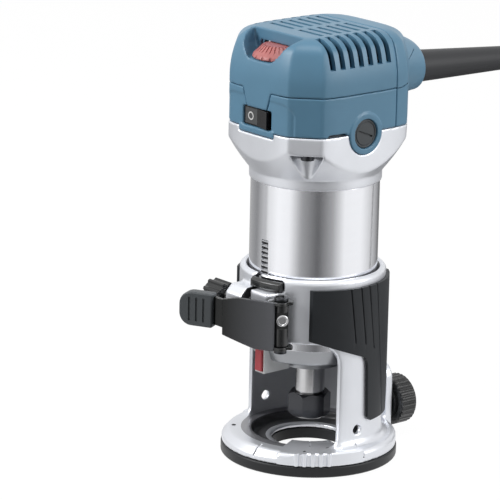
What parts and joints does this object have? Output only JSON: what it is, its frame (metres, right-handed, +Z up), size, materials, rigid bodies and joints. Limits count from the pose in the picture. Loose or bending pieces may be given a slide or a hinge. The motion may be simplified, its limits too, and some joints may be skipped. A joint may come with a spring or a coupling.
{
  "type": "trim router",
  "caption": "Corded trim router: a round motor body with a flared head, clamped by a quick-release lever in a windowed trimmer base with a round base plate.",
  "frame": {"origin": "centre of the base plate's opening, on its underside", "axes": "+Z up along the spindle axis, -Y towards the front with the switch and the lever, +Y towards the cord"},
  "size_m": [0.1282, 0.3695, 0.2214],
  "materials": {
    "silver_paint": "satin silver enamel on a die casting",
    "aluminium": "fine turned aluminium",
    "black_plastic": "moulded black plastic",
    "switch_plastic": "moulded dark grey plastic",
    "bright_steel": "bright plated steel",
    "grip_rubber": "moulded rubber with vertical grooves",
    "dark_steel": "blackened steel",
    "black_steel": "black coated pressed steel",
    "teal_plastic": "moulded teal plastic",
    "core_steel": "stacked electrical sheet",
    "copper": "enamelled copper wire",
    "dark_plastic": "moulded dark plastic",
    "brass": "pressed brass",
    "carbon": "pressed carbon",
    "spring_steel": "spring wire",
    "dial_red": "ribbed red plastic",
    "button_red": "moulded red plastic",
    "grey_plastic": "moulded light grey plastic",
    "circuit_board": "potted circuit board",
    "cord_rubber": "smooth black rubber",
    "tie_plastic": "twist tie"
  },
  "bodies": {
    "base": {"base_casting": "silver_paint", "base_plate": "black_plastic", "plate_screws": "bright_steel", "grip_left": "grip_rubber", "grip_right": "grip_rubber", "clamp_bolt": "dark_steel", "clamp_nut": "bright_steel", "lever_pin": "bright_steel", "cord_coil": "cord_rubber", "coil_tie": "tie_plastic", "plug_body": "cord_rubber", "plug_pins": "bright_steel"},
    "lever": {"clamp_lever": "black_steel", "lever_grip": "black_plastic"},
    "pinion": {"pinion_shaft": "bright_steel", "depth_knob": "black_plastic"},
    "guide": {"guide_knob": "black_plastic", "guide_stud": "bright_steel"},
    "motor": {"motor_barrel": "aluminium", "nose_flange": "aluminium", "depth_rack": "bright_steel", "motor_bracket": "silver_paint", "lower_housing": "teal_plastic", "top_cover": "teal_plastic", "rear_cover": "teal_plastic", "housing_screws": "dark_steel", "field_core": "core_steel", "field_coils": "copper", "air_baffle": "dark_plastic", "low_bearing": "bright_steel", "top_bearing": "bright_steel", "brush_holders": "brass", "carbon_brushes": "carbon", "brush_springs": "spring_steel", "brush_caps": "dark_plastic", "switch_body": "switch_plastic", "speed_controller": "circuit_board", "lock_housing": "grey_plastic", "cord_clamp": "dark_plastic", "cord_clamp_screws": "bright_steel", "cord_guard": "cord_rubber", "cord": "cord_rubber"},
    "spindle": {"armature_shaft": "bright_steel", "armature_core": "core_steel", "armature_windings": "copper", "commutator": "copper", "cooling_fan": "dark_plastic", "collet_cone": "dark_steel", "collet_nut": "dark_steel"},
    "rocker": {"rocker": "switch_plastic"},
    "dial": {"dial_wheel": "dial_red"},
    "lock": {"lock_button": "button_red", "lock_spring": "spring_steel"}
  },
  "joints": [
    {"name": "depth_slide", "type": "slide", "parent": "base", "child": "motor", "axis": [0, 0, 1], "range_m": [-0.028, 0.006], "deforming": ["cord"]},
    {"name": "pinion_spin", "type": "hinge", "parent": "base", "child": "pinion", "pos_m": [0, -0.0362, 0.083], "axis": [1, 0, 0], "range_deg": [-340, 75]},
    {"name": "lever_swing", "type": "hinge", "parent": "base", "child": "lever", "pos_m": [0.0206, -0.03843, 0.067], "axis": [0, 0, 1], "range_deg": [0, 110]},
    {"name": "guide_knob_turn", "type": "hinge", "parent": "base", "child": "guide", "pos_m": [0, 0.05, 0.0164], "axis": [0, 1, 0], "continuous": true},
    {"name": "spindle_spin", "type": "hinge", "parent": "motor", "child": "spindle", "pos_m": [0, 0, 0.06], "axis": [0, 0, 1], "continuous": true},
    {"name": "switch_rock", "type": "hinge", "parent": "motor", "child": "rocker", "pos_m": [0, -0.0344, 0.18], "axis": [0, 0, 1], "range_deg": [0, 14]},
    {"name": "dial_turn", "type": "hinge", "parent": "motor", "child": "dial", "pos_m": [0, -0.0256, 0.21], "axis": [0, 0, 1], "range_deg": [0, 270]},
    {"name": "shaft_lock_press", "type": "slide", "parent": "motor", "child": "lock", "axis": [0, 1, 0], "range_m": [0, 0.003], "stiffness_N_per_m": 400, "springref_m": -0.002, "deforming": ["lock_spring"]}
  ],
  "couplings": [
    {"joint": "pinion_spin", "follows": "depth_slide", "rad_per_m": 208.33}
  ]
}
